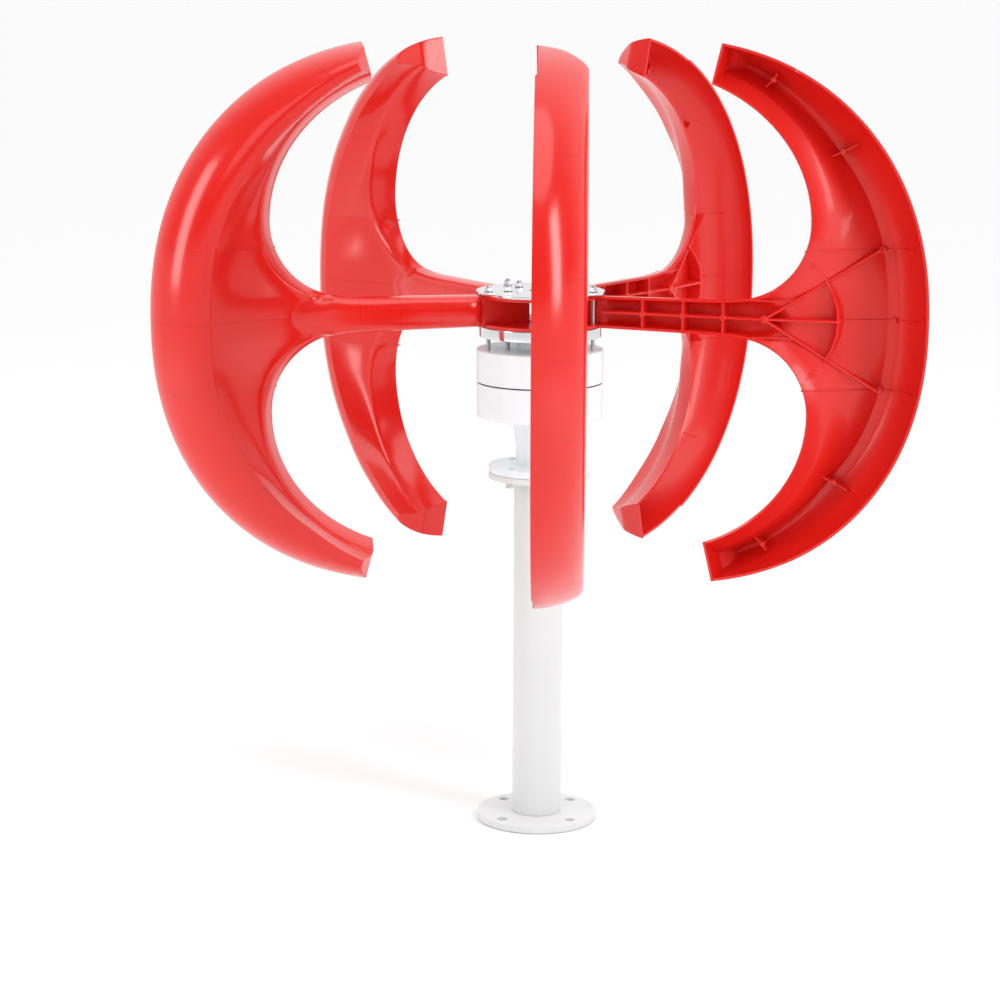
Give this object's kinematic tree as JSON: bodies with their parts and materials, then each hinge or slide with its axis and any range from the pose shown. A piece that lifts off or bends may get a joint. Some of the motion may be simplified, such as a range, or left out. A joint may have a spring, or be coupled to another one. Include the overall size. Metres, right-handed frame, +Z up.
{
  "type": "small vertical-axis wind turbine",
  "caption": "Small vertical-axis wind turbine: curved red blades on arms around a polished hub, on a white generator and a short mast, its rotor turning freely.",
  "frame": {"origin": "centre of the underside of the mast's foot flange", "axes": "+Z up along the mast and the rotor's axis; the first blade stands toward -Y and its smooth side faces +X"},
  "size_m": [0.8445, 0.8096, 0.9],
  "materials": {
    "blade_plastic": "high-gloss injection-moulded red nylon, satin on the ribbed side",
    "polished_steel": "polished stainless steel",
    "zinc_steel": "bright zinc-plated steel",
    "housing_white": "white powder coat on cast aluminium",
    "mast_paint": "light grey-white powder coat on steel tube",
    "lamination_iron": "laminated electrical steel",
    "copper_winding": "varnished copper wire",
    "ferrite": "dull sintered ferrite",
    "seal_rubber": "matt black rubber"
  },
  "bodies": {
    "mast_and_generator": {"generator_housing": "housing_white", "stator_core": "lamination_iron", "winding_upper": "copper_winding", "winding_lower": "copper_winding", "gap_seal": "seal_rubber", "upper_bearing_outer_race": "polished_steel", "lower_bearing_outer_race": "polished_steel", "mast_top_flange": "mast_paint", "mast_tube": "mast_paint", "mast_foot_flange": "mast_paint", "flange_bolt_1": "zinc_steel", "flange_bolt_2": "zinc_steel", "flange_bolt_3": "zinc_steel", "flange_bolt_4": "zinc_steel"},
    "rotor": {"blade_1": "blade_plastic", "blade_2": "blade_plastic", "blade_3": "blade_plastic", "blade_4": "blade_plastic", "blade_5": "blade_plastic", "hub_top_disc": "polished_steel", "hub_lower_disc": "polished_steel", "hub_bolt_inner_1": "zinc_steel", "hub_bolt_inner_2": "zinc_steel", "hub_bolt_inner_3": "zinc_steel", "hub_bolt_inner_4": "zinc_steel", "hub_bolt_inner_5": "zinc_steel", "hub_bolt_outer_1": "zinc_steel", "hub_bolt_outer_2": "zinc_steel", "hub_bolt_outer_3": "zinc_steel", "hub_bolt_outer_4": "zinc_steel", "hub_bolt_outer_5": "zinc_steel", "shaft_nut": "zinc_steel", "rotor_cap": "housing_white", "shaft": "zinc_steel", "rotor_back_iron": "lamination_iron", "magnet_ring": "ferrite", "shaft_retaining_ring": "zinc_steel", "upper_bearing_inner_race": "polished_steel", "lower_bearing_inner_race": "polished_steel"}
  },
  "joints": [
    {"name": "rotor_spin", "type": "hinge", "parent": "mast_and_generator", "child": "rotor", "pos_m": [0, 0, 0.6], "axis": [0, 0, 1], "continuous": true}
  ]
}
